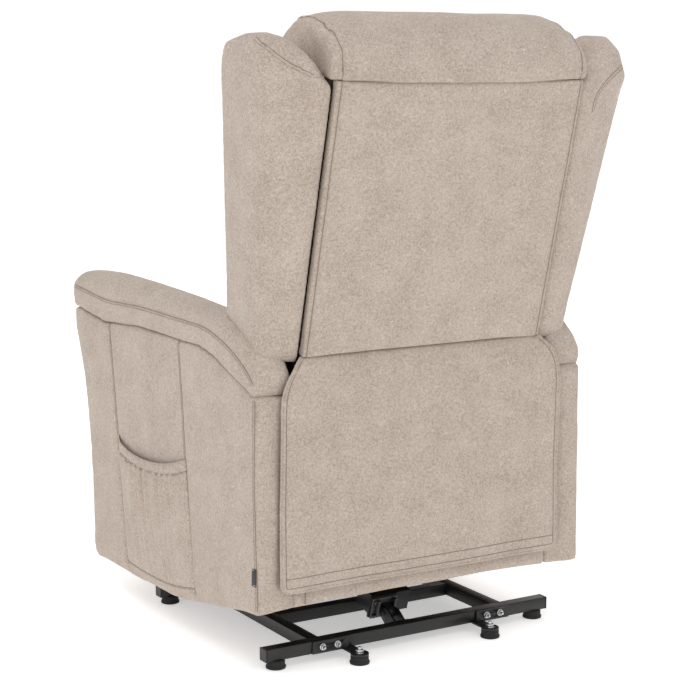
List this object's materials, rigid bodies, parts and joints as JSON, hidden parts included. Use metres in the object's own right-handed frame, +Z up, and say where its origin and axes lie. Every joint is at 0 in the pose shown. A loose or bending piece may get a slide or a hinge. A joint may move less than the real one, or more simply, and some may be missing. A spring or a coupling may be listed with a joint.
{
  "type": "lift recliner chair",
  "caption": "Powered lift recliner: wing back that reclines, folding footrest, and a steel floor frame with lift arms that raise and tilt the upholstered chair body.",
  "frame": {"origin": "middle of the overall box, on the floor under the feet", "axes": "+Z up, the chair faces -Y, +X to the sitter's left"},
  "size_m": [0.8024, 0.9858, 1.2213],
  "materials": {
    "frame_tube": "satin",
    "mechanism_steel": "satin",
    "black_rubber": "matte",
    "black_plastic": "matte",
    "zinc_bolt": "polished",
    "bright_steel": "satin",
    "spring_steel": "satin",
    "wood_frame": "matte",
    "upholstery": "matte",
    "woven_label": "matte",
    "handset_plastic": "satin",
    "button_plastic": "satin"
  },
  "bodies": {
    "base": {"base_rear_tube": "frame_tube", "base_front_tube": "frame_tube", "base_side_tubes": "frame_tube", "base_mid_tube": "frame_tube", "tube_end_caps": "black_plastic", "base_feet": "black_rubber", "stabiliser_brackets": "frame_tube", "stabiliser_feet": "black_rubber", "stabiliser_bolts": "zinc_bolt", "motor_clevis": "frame_tube", "lift_pivot_brackets": "frame_tube", "lift_pivot_pins": "bright_steel", "guide_brackets": "frame_tube"},
    "lift_arms": {"lift_bars": "mechanism_steel", "lift_torque_tube": "mechanism_steel"},
    "guide_arms": {"guide_links": "mechanism_steel"},
    "lift_motor": {"lift_motor_housing": "black_plastic", "lift_outer_tube": "black_plastic"},
    "lift_push_rod": {"lift_rod": "bright_steel"},
    "seat": {"lift_frame": "mechanism_steel", "frame_pivot_plates": "mechanism_steel", "frame_pins": "bright_steel", "mechanism_plates": "mechanism_steel", "mechanism_pins": "bright_steel", "seat_frame": "wood_frame", "seat_springs": "spring_steel", "seat_cushion": "upholstery", "arm_left": "upholstery", "arm_right": "upholstery", "arm_pad_left": "upholstery", "arm_pad_right": "upholstery", "side_pocket": "upholstery", "arm_label": "woven_label", "rear_rail": "upholstery", "rear_flap": "upholstery", "control_box": "black_plastic", "power_inlet": "black_plastic", "recline_motor_bracket": "mechanism_steel", "handset_cradle": "black_plastic"},
    "handset": {"handset": "handset_plastic"},
    "up_button": {"button_up": "button_plastic"},
    "down_button": {"button_down": "button_plastic"},
    "recline_motor": {"recline_motor_housing": "black_plastic", "recline_outer_tube": "black_plastic"},
    "recline_push_rod": {"recline_rod": "bright_steel"},
    "backrest": {"back_frame": "wood_frame", "back_hinge_plates": "mechanism_steel", "back_panel": "upholstery", "head_pillow": "upholstery", "lumbar_cushion": "upholstery", "lower_back_cushion": "upholstery", "wing_left": "upholstery", "wing_right": "upholstery"},
    "upper_links": {"legrest_upper_links": "mechanism_steel", "legrest_pins": "bright_steel"},
    "lower_links": {"legrest_lower_links": "mechanism_steel"},
    "footrest": {"footrest_board": "mechanism_steel", "footrest_pad": "upholstery"}
  },
  "joints": [
    {"name": "lift", "type": "hinge", "parent": "base", "child": "lift_arms", "pos_m": [0, -0.137, 0.075], "axis": [1, 0, 0], "range_deg": [-10, 43]},
    {"name": "chair_tilt", "type": "hinge", "parent": "lift_arms", "child": "seat", "pos_m": [0, 0.14989, 0.16271], "axis": [1, 0, 0], "range_deg": [-19.36, 4.51]},
    {"name": "guide_swing", "type": "hinge", "parent": "base", "child": "guide_arms", "pos_m": [0, -0.067, 0.09], "axis": [1, 0, 0], "range_deg": [-9.93, 42.67]},
    {"name": "lift_motor_swing", "type": "hinge", "parent": "base", "child": "lift_motor", "pos_m": [0, 0.248, 0.048], "axis": [1, 0, 0], "range_deg": [-1.09, 4.66]},
    {"name": "lift_rod_slide", "type": "slide", "parent": "lift_motor", "child": "lift_push_rod", "axis": [0, -0.9568, 0.2908], "range_m": [-0.01331, 0.05688]},
    {"name": "recline", "type": "hinge", "parent": "seat", "child": "backrest", "pos_m": [0, 0.26012, 0.39791], "axis": [-1, 0, 0], "range_deg": [0, 35], "deforming": ["rear_flap"]},
    {"name": "recline_motor_swing", "type": "hinge", "parent": "seat", "child": "recline_motor", "pos_m": [0, -0.04312, 0.25041], "axis": [1, 0, 0], "range_deg": [-0.01, 0.332]},
    {"name": "recline_rod_slide", "type": "slide", "parent": "recline_motor", "child": "recline_push_rod", "axis": [0, 0.9875, 0.1577], "range_m": [-0.06046, 0.0001]},
    {"name": "legrest", "type": "hinge", "parent": "seat", "child": "upper_links", "pos_m": [0, -0.27274, 0.30168], "axis": [-1, 0, 0], "range_deg": [0, 85]},
    {"name": "legrest_knee", "type": "hinge", "parent": "upper_links", "child": "lower_links", "pos_m": [0, -0.21623, 0.10463], "axis": [-1, 0, 0], "range_deg": [-100.99, 0.01]},
    {"name": "footrest_turn", "type": "hinge", "parent": "lower_links", "child": "footrest", "pos_m": [0, -0.36304, 0.25197], "axis": [-1, 0, 0], "range_deg": [-0.01, 100.99]},
    {"name": "handset_lift_out", "type": "slide", "parent": "seat", "child": "handset", "axis": [0, -0.1045, 0.9945], "range_m": [0, 0.12]},
    {"name": "up_button_press", "type": "slide", "parent": "handset", "child": "up_button", "axis": [1, 0, 0], "range_m": [0, 0.0015], "stiffness_N_per_m": 400, "springref_m": -0.0005},
    {"name": "down_button_press", "type": "slide", "parent": "handset", "child": "down_button", "axis": [1, 0, 0], "range_m": [0, 0.0015], "stiffness_N_per_m": 400, "springref_m": -0.0005}
  ],
  "couplings": [
    {"joint": "chair_tilt", "follows": "lift", "ratio": -0.45},
    {"joint": "guide_swing", "follows": "lift", "ratio": 0.992},
    {"joint": "lift_motor_swing", "follows": "lift", "ratio": 0.1082},
    {"joint": "lift_rod_slide", "follows": "lift", "m_per_rad": 0.07566},
    {"joint": "recline_motor_swing", "follows": "recline", "ratio": 0.0092},
    {"joint": "recline_rod_slide", "follows": "recline", "m_per_rad": -0.09881},
    {"joint": "legrest_knee", "follows": "legrest", "ratio": -1.188},
    {"joint": "footrest_turn", "follows": "legrest", "ratio": 1.188}
  ]
}
